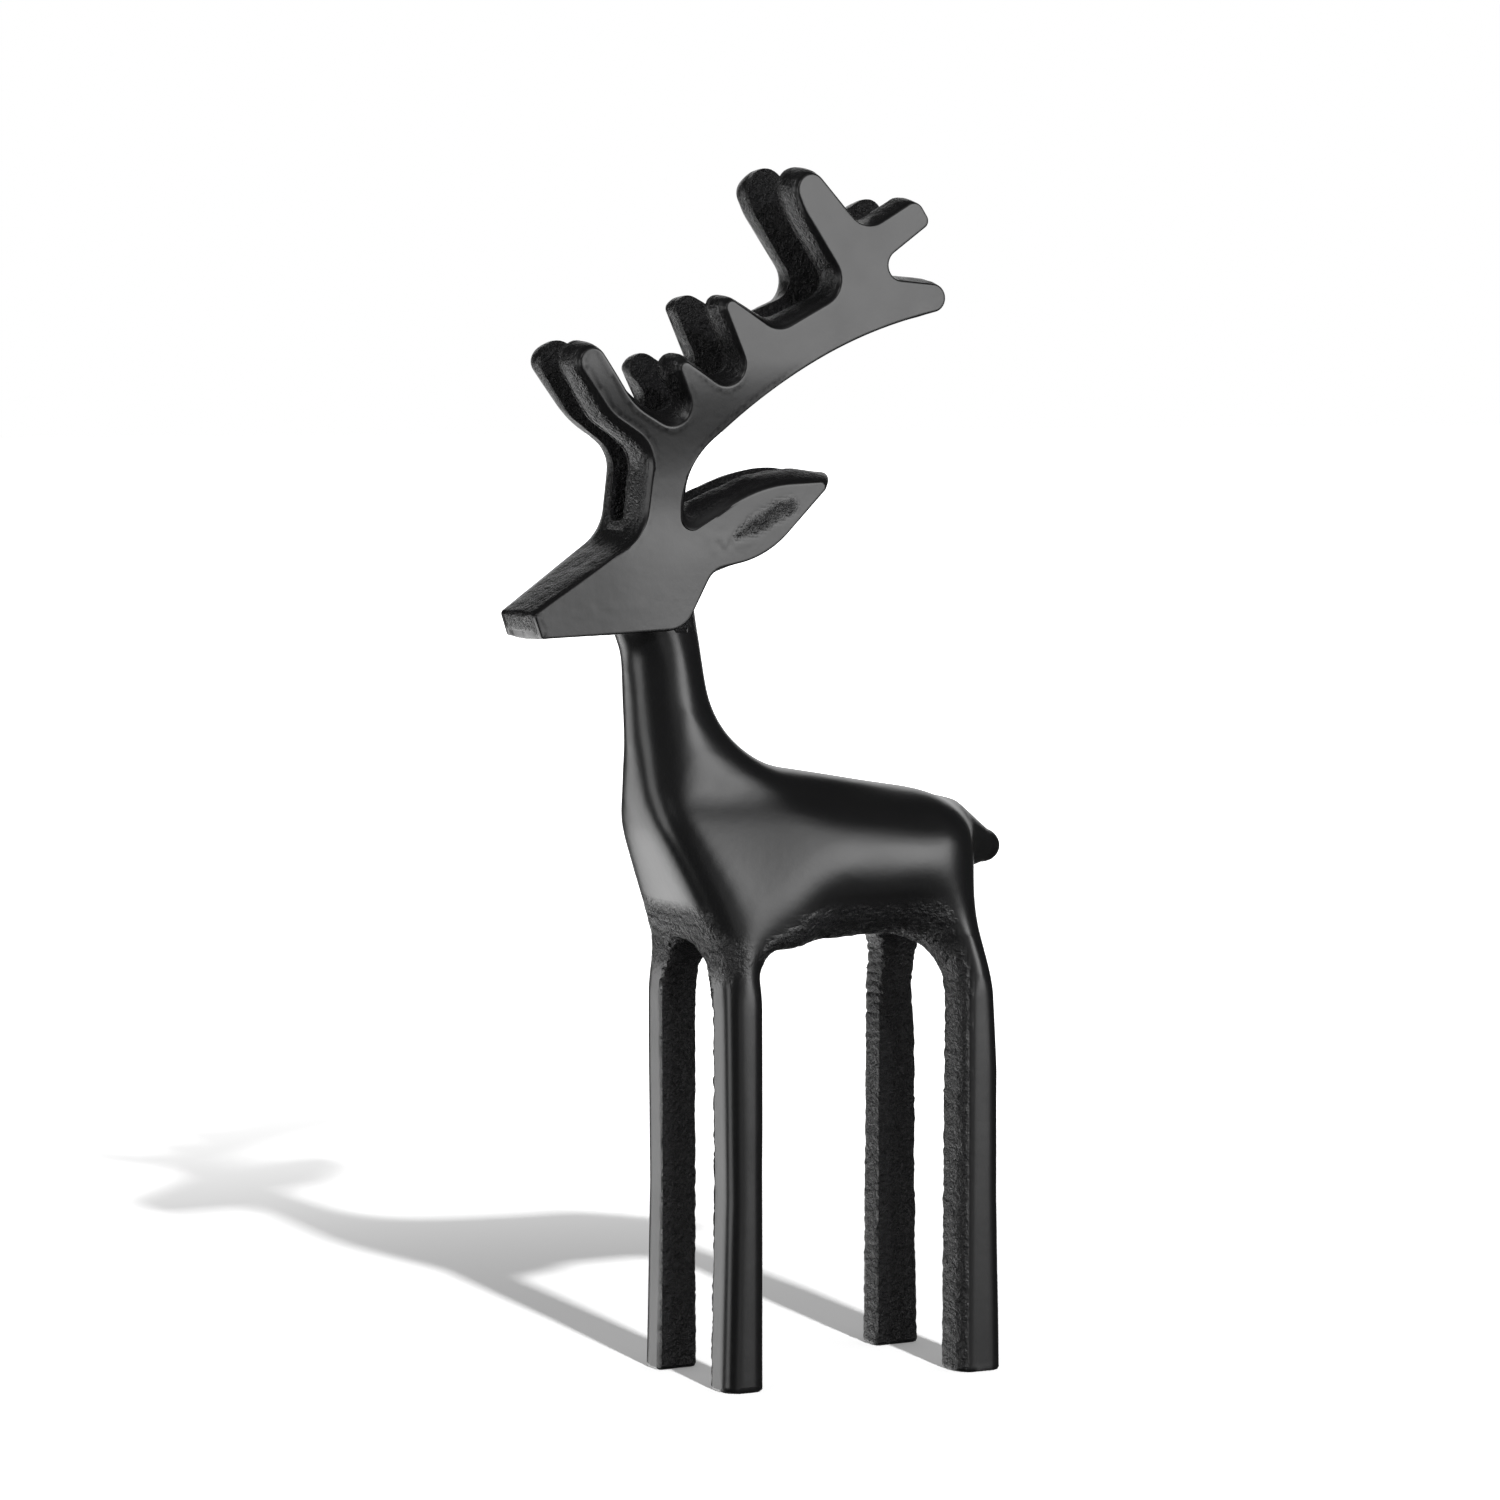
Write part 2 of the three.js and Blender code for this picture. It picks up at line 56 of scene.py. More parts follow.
# Profiles in the side view, in millimetres: a taut belt round discs (x, z, radius, side).
# IN is a disc in the metal, such as the tip of a tine, and OUT is a disc outside it.
# A disc of the head adds how it differs on the slot side of an antler: how far the outline
# grows there, and how far the disc moves along x and z.
IN, OUT = 1, -1
HEAD_PROFILE = [
    (-43.9, 125.5, 0.6, IN, 0.3, 0.0, 0.0),  # lower lip
    (-44.8, 128.5, 0.7, IN, 0.5, 0.0, 0.0),  # tip of the nose
    (-34.0, 146.5, 8.3, OUT, 1.0, -0.9, -1.5),  # forehead
    (-31.7, 152.4, 6.8, OUT, 1.9, 0.0, 0.0),  # front of the antler root
    (-25.9, 168.6, 10.0, IN, 1.6, 0.0, 0.0),  # back of the brow tine
    (-36.4, 169.6, 2.2, IN, 1.2, 0.0, 0.1),  # brow tine
    (-20.6, 171.5, 12.0, OUT, 0.7, 0.0, 1.5),
    (-22.1, 162.4, 3.3, OUT, 1.0, -0.3, 1.5),
    (-20.1, 168.5, 1.0, IN, 1.5, 0.0, 0.1),  # second tine
    (-12.6, 169.1, 3.5, OUT, 1.0, -0.2, 0.9),
    (-11.7, 178.4, 1.1, IN, 1.1, 0.0, 0.0),  # third tine
    (-2.8, 179.4, 4.5, OUT, 1.2, 0.0, 0.8),
    (4.2, 183.1, 4.5, OUT, 1.1, 0.0, 0.0),
    (8.9, 198.2, 8.0, IN, 1.0, 0.0, 0.0),
    (3.2, 197.7, 2.6, IN, 1.0, 0.0, 0.4),  # fourth tine
    (14.2, 196.4, 4.5, OUT, 0.7, 0.0, 0.5),
    (22.6, 193.9, 1.9, IN, 1.1, 0.0, 0.0),  # fifth tine
    (24.0, 192.9, 1.3, IN, 0.7, 0.0, 0.0),
    (20.3, 185.5, 2.6, OUT, 1.0, 0.0, 0.2),
    (26.3, 180.1, 2.3, IN, 0.7, -0.1, 0.3),  # last tine, the end of the beam
    (43.3, 94.5, 84.9, OUT, 0.5, 0.0, 0.0),  # underside of the beam
    (-4.8, 145.4, 15.0, OUT, 0.7, 1.1, 1.2),
    (-17.9, 144.1, 1.9, OUT, 0.1, 1.3, 4.3),  # between antler and ear
    (1.9, 124.6, 24.9, IN, 4.7, 0.6, -2.3),  # top of the ear
    (6.0, 148.8, 0.9, IN, -0.1, 2.9, 1.7),  # tip of the ear
    (-12.8, 154.2, 18.0, IN, 0.4, 0.0, 0.0),  # underside of the ear
    (-11.4, 131.9, 4.2, OUT, 1.2, 0.0, 0.0),  # nape
    (-22.4, 130.8, 5.0, IN, 0.5, 0.0, 0.0),  # jaw
]
BODY_PROFILE = [
    (-14.8, -3.0, 0.4, IN),  # front toe
    (-74.4, 32.0, 60.0, OUT),  # front shin
    (-24.8, 69.6, 10.0, OUT),  # foot of the breast
    (0.2, 100.2, 24.9, IN),  # breast
    (-26.8, 137.0, 0.5, IN),  # throat, inside the head
    (-15.4, 137.0, 0.5, IN),  # nape, inside the head
    (5.0, 119.2, 17.3, OUT),  # hollow of the neck
    (25.9, 89.2, 8.7, IN),  # rump
    (54.8, 75.0, 20.0, OUT),  # back of the thigh
    (5.6, 50.0, 30.4, IN),
    (96.0, 30.0, 60.0, OUT),  # hind shank
    (36.3, -3.0, 0.4, IN),  # hind heel
    (28.5, -3.0, 0.4, IN),  # hind toe
    (20.6, 65.4, 8.0, OUT),  # flank
    (-3.2, 67.7, 4.6, OUT),  # elbow
    (-8.2, -3.0, 0.4, IN),  # front heel
]

# Head and antlers
HEAD_FROM = 126.0  # the head is what stands above this
NOSE_HALF, ROOT_HALF = 6.4, 8.8
NOSE_X, ROOT_X = -46.0, -23.6
ANTLER_SPLAY, SPLAY = 2.0, (150.0, 170.0)
SLOT_FLOOR, SLOT_BEND_X, SLOT_FALL = 143.5, -17.0, 0.75
SLOT_TOP, SLOT_HEIGHT, SLOT_FILLET = 206.0, 62.0, 1.3
SLOT_ENDS = (-50.0, 34.0)
WALL_DEPTH = 5.7  # the walls swell over this depth behind each face
WALL_STEP = 0.8  # spacing of the points round the outline
FACE_STEP, FACE_ROW_RATIO = 0.62, 0.87  # spacing on the ground faces, in rows of triangles
FACE_HIGH_CORNER, FACE_LOW_CORNER = (30.0, 202.0), (-46.0, 124.0)
CORE_STEP = 0.4
EAR_HOLLOW = ((-9.6, 141.2), (0.4, 146.1), 2.1)  # from, to, half width
EAR_ROOT, EAR_ROOT_SPREAD = (-12.2, 140.0), (3.4, 1.8)  # pitted patch between ear and head
JAW, JAW_SPREAD, JAW_RISE = (-33.0, 129.6), (7.0, 1.0), 0.04  # pitted line along the jaw
BROW, BROW_SPREAD, BROW_DIP = (-24.0, 145.5), (10.0, 5.5), 0.4  # shallow dip below the antler

# Body
STANCE_HALF, FRONT_LEG_X, STANCE_SPREAD = 15.9, -11.4, 0.0436
FLANK_TUCK = 0.7
FLANK_Z, FLANK_BEND, FRONT_CROWN = 86.0, 17.0, 1.2
BELLY_FRONT, BELLY_BACK, BELLY_Z = (-2.0, 8.0), (30.0, 20.0), (62.0, 70.0)
NECK_HALF, NECK_Z, NECK_TAPER = 7.4, 122.0, 0.1
SHOULDER_Z, SHOULDER_DEPTH, SHOULDER_SWELL = 110.0, 22.0, 3.0
WITHERS_X, WITHERS_SLOPE, WITHERS_BEND = -10.0, 0.5, 80.0
WIDTH_BLEND, BLEND_GROWTH, BLEND_Z = 3.0, 6.0, (78.0, 92.0)
LEG_ROUND, BODY_ROUND, BREAST_ROUND, NECK_ROUND, RUMP_ROUND = 2.8, 9.0, 5.0, 7.0, 7.5
LEG_TO_BODY, BREAST_TO_NECK = (63.0, 81.0), (94.0, 110.0)
NECK_REACH, RUMP_REACH = (8.0, -8.0), (22.0, 32.0)
TUNNEL_HALF, TUNNEL_SPRING, TUNNEL_TOP, TUNNEL_EDGE = 9.0, 61.0, 74.0, 0.9
TAIL_ROOT, TAIL_TIP = (34.2, 88.8, 7.1), (42.25, 87.2, 3.0)
TAIL_SQUASH, TAIL_BLEND = 0.75, 3.0
NECK_TOP, THROAT_Z, THROAT_X, THROAT_FLARE = 134.5, (120.5, 125.5), (-18.0, -24.0), 1.3
SOLE_ROUND = 0.45
CENTRE_SHIFT = 0.3
BODY_LOW, BODY_HIGH = (-30.2, -19.32, -0.6), (49.0, 19.5, 136.5)  # corners of the body's grid
BODY_STEP, LEG_LAYER, TORSO_LAYER, TORSO_FROM = 0.84, 0.5, 0.8, 76.0
MAP_LOW, MAP_HIGH, MAP_STEP = (-34, -6), (52, 142), 0.3
MELT_ROUNDS = 30  # rounds of smoothing on the torso
RIB_PITCH = 1.7
BODY_GRAIN = 1.3  # the grain of the legs' mould is this much coarser than the slot's


def ease(t):
    """Smoothstep: 3 t squared minus 2 t cubed, held at 0 and 1."""
    s = np.clip(t, 0.0, 1.0)
    return s * s * (3.0 - 2.0 * s)


def between(t, limits):
    """Rises smoothly from 0 to 1 as t goes from one limit to the other."""
    return ease((t - limits[0]) / (limits[1] - limits[0]))


def soft_min(a, b, k):
    """The smaller of two values, rounded where they differ by less than k."""
    h = np.maximum(k - np.abs(a - b), 0.0) / k
    return np.minimum(a, b) - h * h * k / 4.0


def round_max(a, b, r):
    """Intersection of two distance fields whose common edge is an arc of radius r."""
    return np.minimum(np.maximum(a, b), -r) + np.hypot(np.maximum(a + r, 0), np.maximum(b + r, 0))


def noise(x, y, z, size, seed=0):
    """Smooth noise from -1 to 1: hashed values on a lattice of that size, blended by smoothstep."""
    p = np.stack(np.broadcast_arrays(x, y, z)).astype(float) / size + 1000.0
    cell = np.floor(p).astype(np.int64)
    f = p - cell
    f = f * f * (3.0 - 2.0 * f)
    total = 0.0
    for corner in range(8):
        o = np.array([corner & 1, corner >> 1 & 1, corner >> 2]).reshape((3,) + (1,) * (p.ndim - 1))
        q = cell + o
        h = q[0] * 73856093 ^ q[1] * 19349663 ^ q[2] * 83492791 ^ (seed + 1) * 40503
        h = (h ^ (h >> 13)) * 1274126177 & 0x7FFFFFFF
        h = (h ^ (h >> 15)) * 668265263 & 0x7FFFFFFF
        w = np.prod(np.where(o == 1, f, 1.0 - f), axis=0)
        total = total + w * ((h >> 8 & 0xFFFF) / 32767.5 - 1.0)
    return total


def belt(discs, spacing, turn=0.2, counts=None):
    """Points and outward normals of a taut belt round discs, clockwise seen from -Y.

    Each disc carries an arc, and between two discs the belt is their common tangent. The third
    result tells how many steps each arc and each tangent took. A second belt round as many
    discs that is given these counts has its points beside those of the first."""
    x, z, radius, side = np.array(discs, float).T[:4]
    reach = radius * side
    dx, dz = np.roll(x, -1) - x, np.roll(z, -1) - z
    leave = np.arctan2(dz, dx) + np.arccos((reach - np.roll(reach, -1)) / np.hypot(dx, dz))
    enter = np.roll(leave, 1)
    sweep = -side * np.mod(-side * (leave - enter), 2 * np.pi)
    start = np.stack([x + reach * np.cos(leave), z + reach * np.sin(leave)], 1)
    end = np.roll(np.stack([x + reach * np.cos(enter), z + reach * np.sin(enter)], 1), -1, 0)
    if counts is None:
        arcs = np.maximum(np.ceil(abs(sweep) / turn), np.ceil(radius * abs(sweep) / spacing))
        runs = np.ceil(np.hypot(*(end - start).T) / spacing)
        counts = np.maximum(np.stack([arcs, runs], 1), 1).astype(int)
    points, angles = [], []
    for i, (arc, run) in enumerate(counts):
        a = enter[i] + sweep[i] * np.linspace(0.0, 1.0, arc + 1)
        t = np.linspace(0.0, 1.0, run + 1)[1:-1, None]
        points += [np.stack([x[i] + reach[i] * np.cos(a), z[i] + reach[i] * np.sin(a)], 1),
                   start[i] + t * (end[i] - start[i])]
        angles += [a, np.full(len(t), leave[i])]
    a = np.concatenate(angles)
    return np.concatenate(points), np.stack([np.cos(a), np.sin(a)], 1), counts


def side_distance(outline, x, z):
    """Signed distance to a closed outline, negative inside: the least distance to any of its
    segments, and the sign from how often a line to the left crosses the outline."""
    best = np.full(x.shape, np.inf)
    inside = np.zeros(x.shape, bool)
    for (ax, az), (bx, bz) in zip(outline, np.roll(outline, -1, 0)):
        ex, ez = bx - ax, bz - az
        if ex * ex + ez * ez < 1e-10:
            continue
        t = np.clip(((x - ax) * ex + (z - az) * ez) / (ex * ex + ez * ez), 0.0, 1.0)
        best = np.minimum(best, (x - ax - t * ex) ** 2 + (z - az - t * ez) ** 2)
        if ez:
            inside ^= ((az > z) != (bz > z)) & (x < ax + (z - az) / ez * ex)
    return np.where(inside, -1.0, 1.0) * np.sqrt(best)


def distance_map(outline, low, high, step):
    """The signed distance on a grid, as a function that reads between its points."""
    xs, zs = np.arange(low[0], high[0], step), np.arange(low[1], high[1], step)
    table = side_distance(outline, *np.meshgrid(xs, zs, indexing="ij"))

    def read(x, z):
        """The four grid points round a place, each weighed by how near it is."""
        u = np.clip((x - low[0]) / step, 0, len(xs) - 1.001)
        v = np.clip((z - low[1]) / step, 0, len(zs) - 1.001)
        i, j = u.astype(int), v.astype(int)
        u, v = u - i, v - j
        return ((table[i, j] * (1 - u) + table[i + 1, j] * u) * (1 - v)
                + (table[i, j + 1] * (1 - u) + table[i + 1, j + 1] * u) * v)

    return read


def half_thickness(x, z):
    """Half thickness of the head and antlers over the side view."""
    along = soft_min((x - NOSE_X) / (ROOT_X - NOSE_X), 1.0, 0.45)
    return NOSE_HALF + (ROOT_HALF - NOSE_HALF) * along + ANTLER_SPLAY * between(z, SPLAY)


def ear_share(x, z):
    """1 in the hollow of an ear, 0 outside it, by the distance to the line along its middle."""
    (ax, az), (bx, bz), width = EAR_HOLLOW
    ex, ez = bx - ax, bz - az
    t = np.clip(((x - ax) * ex + (z - az) * ez) / (ex * ex + ez * ez), 0.0, 1.0)
    wide = width * (0.5 + 1.6 * t - 1.3 * t * t)
    d = np.hypot(x - ax - t * ex, z - az - t * ez) + 0.4 * noise(x, 3.0, z, 2.3, 5)
    return ease((wide - d) / 1.5)


def face_relief(x, z):
    """How far the ground faces lie below their plane: the hollow of the ear, two pitted patches
    and a dip at the brow, each fading as a bell curve, and slow ripples."""
    ear_x, ear_z = (x - EAR_ROOT[0]) / EAR_ROOT_SPREAD[0], (z - EAR_ROOT[1]) / EAR_ROOT_SPREAD[1]
    jaw_x = (x - JAW[0]) / JAW_SPREAD[0]
    jaw_z = (z - JAW[1] - JAW_RISE * (x - JAW[0])) / JAW_SPREAD[1]
    brow_x, brow_z = (x - BROW[0]) / BROW_SPREAD[0], (z - BROW[1]) / BROW_SPREAD[1]
    mottle = 0.16 * noise(x, 0.0, z, 1.5, 6) + 0.1 * noise(x, 0.0, z, 0.8, 11)
    hollow = ear_share(x, z) * (0.22 + mottle)
    ear_root = np.exp(-(ear_x ** 2 + ear_z ** 2))
    jaw = np.exp(-(jaw_x ** 2 + jaw_z ** 2))
    pits = 0.07 * ear_root * noise(x, 1.0, z, 1.1, 7) + 0.05 * jaw * noise(x, 2.0, z, 1.2, 8)
    dip = BROW_DIP * np.exp(-(brow_x ** 2 + brow_z ** 2))
    ripple = dip + 0.03 * noise(x, 4.0, z, 8.0, 9) + 0.008 * noise(x, 5.0, z, 3.0, 10)
    return hollow + pits + ripple


def quads(rows, columns, closed):
    """Faces of a grid of points, whose columns join up if it is closed."""
    i = np.arange(rows - 1)[:, None] * columns
    j = np.arange(columns if closed else columns - 1)[None, :]
    k = (j + 1) % columns
    return np.stack([i + j, i + k, i + columns + k, i + columns + j], -1).reshape(-1, 4)


def make_mesh(name, points, faces):
    """A mesh object from an array of points in millimetres and lists of faces."""
    mesh = bpy.data.meshes.new(name)
    mesh.from_pydata(np.asarray(points) * MM, [], faces)
    mesh.update()
    piece = bpy.data.objects.new(name, mesh)
    bpy.context.scene.collection.objects.link(piece)
    return piece


def head_plate(edge, step, swell, wall_relief):
    """Head, ears and antlers as one thick plate: the belt let out ring by ring from the near
    face to the far face, closed by two faces that carry the ear hollows and the grinding marks.

    At a depth d behind the face the wall has gone w = swell * (1 - (1 - d / WALL_DEPTH)^2) of
    the way to the outline of the slot side, and its edge is an arc of radius edge."""
    p, n, counts = belt(HEAD_PROFILE, step)
    q, m, _ = belt([(x + dx, z + dz, r + side * grow, side)
                    for x, z, r, side, grow, dx, dz in HEAD_PROFILE], step, counts=counts)
    apart = np.hypot(*(np.roll(p, -1, 0) - p).T) > 1e-5
    p, n, q, m = p[apart], n[apart], q[apart], m[apart]
    half = half_thickness(p[:, 0], p[:, 1])
    arc = np.radians([0.0, 30.0, 60.0, 90.0])
    depth = np.concatenate([[0.0], edge * (1 - np.cos(arc)),
                            [0.5, 0.85, 1.3, 1.8, 2.4, 3.1, 3.8, 4.5, 5.2, 5.9]])
    inset = np.concatenate([[edge + 0.25], edge * (1 - np.sin(arc)), np.zeros(10)])
    middle = np.linspace(-1.0, 1.0, 9)[1:-1]
    near = -half[None, :] + depth[:, None]
    y = np.concatenate([near, (half - depth[-1])[None, :] * middle[:, None], -near[::-1]])
    inset = np.concatenate([inset, np.zeros(len(middle)), inset[::-1]])[:, None]
    d = half[None, :] - np.abs(y)
    w = swell * (1 - (1 - np.clip(d / WALL_DEPTH, 0, 1)) ** 2)
    nx, nz = n[:, 0] + w * (m[:, 0] - n[:, 0]), n[:, 1] + w * (m[:, 1] - n[:, 1])
    x = p[:, 0] + w * (q[:, 0] - p[:, 0]) - inset * nx
    z = p[:, 1] + w * (q[:, 1] - p[:, 1]) - inset * nz
    rough = ease((d - 0.35) / 1.4) * wall_relief
    bump = rough * (0.75 * noise(x, y, z, 3.1, 1) + 0.4 * noise(x, y, z, 1.5, 2) - 0.35)
    x, z = x + bump * nx, z + bump * nz
    y = y - np.where(d < 1e-6, 1.0, 0.0) * np.sign(y) * face_relief(x, z)
    rows, count = y.shape
    rim = np.stack([x[0], z[0]], 1)

    columns = np.arange(FACE_LOW_CORNER[0], FACE_HIGH_CORNER[0], FACE_STEP)
    levels = np.arange(FACE_LOW_CORNER[1], FACE_HIGH_CORNER[1], FACE_STEP * FACE_ROW_RATIO)
    gx, gz = np.meshgrid(columns, levels, indexing="ij")
    gx = gx + np.where(np.arange(gx.shape[1]) % 2, FACE_STEP / 2, 0.0)
    inner = side_distance(rim, gx.ravel(), gz.ravel()) < -0.4 * FACE_STEP
    inner = np.stack([gx.ravel()[inner], gz.ravel()[inner]], 1)
    flat = np.concatenate([rim, inner])
    ring = np.stack([np.arange(count), (np.arange(count) + 1) % count], 1)
    out = delaunay_2d_cdt([Vector(v) for v in flat.tolist()], ring.tolist(), [], 1, 1e-7)
    if len(out[0]) != len(flat):
        raise RuntimeError("the face of the head changed its points while it was filled")
    cap = np.array(out[2])
    turn = np.cross(flat[cap[:, 1]] - flat[cap[:, 0]], flat[cap[:, 2]] - flat[cap[:, 0]])
    cap[turn < 0] = cap[turn < 0][:, ::-1]

    ix, iz = inner.T
    iy = half_thickness(ix, iz) - face_relief(ix, iz)
    walls = np.stack([x, y, z], -1).reshape(-1, 3)
    points = np.concatenate([walls, np.stack([ix, -iy, iz], 1), np.stack([ix, iy, iz], 1)])
    near_cap = np.where(cap < count, cap, cap - count + rows * count)
    far_cap = np.where(cap < count, cap + (rows - 1) * count, cap - count + rows * count + len(inner))
    faces = quads(rows, count, True).tolist() + near_cap.tolist() + far_cap[:, ::-1].tolist()
    return make_mesh("head_plate", points, faces)


def slot_floor(x):
    """Height of the floor of the slot: level in front, falling evenly behind its bend."""
    return SLOT_FLOOR - SLOT_FALL * np.maximum(x - SLOT_BEND_X, 0)


def slot_core(plate, grain, step):
    """The sand core between the two antlers and the two ears: an upright U-shaped profile
    carried along X, with sides at half thickness - plate, rounded into its floor, and grainy."""
    xs = np.linspace(*SLOT_ENDS, int((SLOT_ENDS[1] - SLOT_ENDS[0]) / step) + 1)
    floor = slot_floor(xs)
    rise = np.linspace(1.0, 0.0, int(SLOT_HEIGHT / step) + 1)
    arc = np.linspace(0.0, np.pi / 2, 6)[1:-1]
    across = np.linspace(-1.0, 1.0, 15)
    low = floor[:, None] + SLOT_FILLET
    z_side = low + (SLOT_TOP - low) * rise
    side = half_thickness(xs[:, None], z_side) - plate
    s = (half_thickness(xs, floor + SLOT_FILLET) - plate)[:, None]
    y_arc, z_arc = -s + SLOT_FILLET * (1 - np.cos(arc)), low - SLOT_FILLET * np.sin(arc)
    y_floor = (s - SLOT_FILLET) * across
    z_floor = np.broadcast_to(floor[:, None], y_floor.shape)
    y = np.concatenate([-side, y_arc, y_floor, -y_arc[:, ::-1], side[:, ::-1]], 1)
    z = np.concatenate([z_side, z_arc, z_floor, z_arc[:, ::-1], z_side[:, ::-1]], 1)
    x = np.broadcast_to(xs[:, None], y.shape)

    bump = sand_grain(x, y, z, grain) + 0.12 * noise(x, y, z, 4.0, 12)
    below = np.concatenate([np.zeros_like(z_side), np.ones_like(z_arc), np.ones_like(z_floor),
                            np.ones_like(z_arc), np.zeros_like(z_side)], 1)
    y = y - np.sign(y) * bump * (1 - below)
    z = z + bump * below
    rows, count = y.shape
    points = np.stack([x, y, z], -1).reshape(-1, 3)
    faces = quads(rows, count, True).tolist()
    faces += [list(range(count - 1, -1, -1)), list(range((rows - 1) * count, rows * count))]
    return make_mesh("slot_core", points, faces)


def sand_grain(x, y, z, height):
    """Grain of a sand mould: sharp crests from the absolute value of two noises."""
    fine = 1 - 2 * np.abs(noise(x, y, z, 0.9, 3))
    coarse = 1 - 2 * np.abs(noise(x, y, z, 1.9, 4))
    return height * (0.65 * fine + 0.5 * coarse)


def body_half(x, z):
    """Half width of the body: the stance, narrowing into the neck."""
    stance = (STANCE_HALF + STANCE_SPREAD * (x - FRONT_LEG_X) - FLANK_TUCK * between(z, LEG_TO_BODY)
              - np.clip(z - FLANK_Z, 0, 12) ** 2 / (2 * FLANK_BEND)
              - belly(x) * np.clip(FLANK_Z - z, 0, 14) ** 2 / (2 * FLANK_BEND))
    back = x - WITHERS_X
    neck = (NECK_HALF + NECK_TAPER * (NECK_Z - z)
            + SHOULDER_SWELL * ease((SHOULDER_Z - z) / SHOULDER_DEPTH)
            + WITHERS_SLOPE * (back + np.sqrt(back * back + WITHERS_BEND)) / 2)
    return soft_min(stance, neck, WIDTH_BLEND + BLEND_GROWTH * between(z, BLEND_Z))


def belly(x):
    """1 between the front and the hind legs, 0 over them."""
    return between(x, BELLY_FRONT) * between(x, BELLY_BACK)


def edge_round(x, z):
    """Radius of the long edges: small on the legs, large on the back, middling on the neck."""
    neck = BREAST_ROUND + (NECK_ROUND - BREAST_ROUND) * between(z, BREAST_TO_NECK)
    torso = (BODY_ROUND - (BODY_ROUND - neck) * between(x, NECK_REACH)
             - (BODY_ROUND - RUMP_ROUND) * between(x, RUMP_REACH))
    above = np.maximum(between(z, LEG_TO_BODY), belly(x) * between(z, BELLY_Z))
    return LEG_ROUND + (torso - LEG_ROUND) * above


def tunnel(x, y, z):
    """Arched tunnel along X between the left and the right legs, an ellipse above its spring."""
    half = TUNNEL_HALF + STANCE_SPREAD * (x - FRONT_LEG_X)
    rise = np.maximum(z - TUNNEL_SPRING, 0) / (TUNNEL_TOP - TUNNEL_SPRING)
    return (np.hypot(y / half, rise) - 1) * half


def tail(x, y, z):
    """Stub of a tail: a round cone from root to tip, wider than it is high."""
    (rx, rz, r0), (tx, tz, r1) = TAIL_ROOT, TAIL_TIP
    ux, uz = tx - rx, tz - rz
    t = np.clip(((x - rx) * ux + (z - rz) * uz) / (ux * ux + uz * uz), 0.0, 1.0)
    return (np.sqrt((x - rx - t * ux) ** 2 + (z - rz - t * uz) ** 2 + (TAIL_SQUASH * y) ** 2)
            - r0 - (r1 - r0) * t)


def body_field(read):
    """The body as a field, negative in the metal: side profile by width, less the tunnel."""
    def field(x, y, z):
        """The rounded meeting of profile and width, flared at the throat, with the tail blended
        on, the tunnel cut out, and cut off at the soles and inside the head."""
        half = body_half(x, z)
        crown = FRONT_CROWN * between(z, LEG_TO_BODY) * (y / half) ** 2
        d = round_max(read(x, z) + crown, np.abs(y) - half, edge_round(x, z))
        d = d - THROAT_FLARE * between(z, THROAT_Z) ** 2 * between(x, THROAT_X)
        d = soft_min(d, tail(x, y, z), TAIL_BLEND)
        d = -soft_min(-d, tunnel(x, y, z), TUNNEL_EDGE)
        d = round_max(d, -z, SOLE_ROUND)
        return np.maximum(d, z - NECK_TOP)
    return field


def point_normals(p, faces):
    """Unit normals: the sum of the cross products of the diagonals of a point's faces."""
    a, b, c, d = (p[faces[:, k]] for k in range(4))
    cross = np.cross(c - a, d - b)
    n = np.stack([np.bincount(faces.ravel(), np.repeat(cross[:, k], 4), len(p)) for k in range(3)], 1)
    return n / np.linalg.norm(n, axis=1)[:, None]


def slope(field, p, e=0.04):
    """Gradient of a field at points, by central differences."""
    step = np.eye(3) * e
    return np.stack([(field(*(p + s).T) - field(*(p - s).T)) / (2 * e) for s in step], 1)


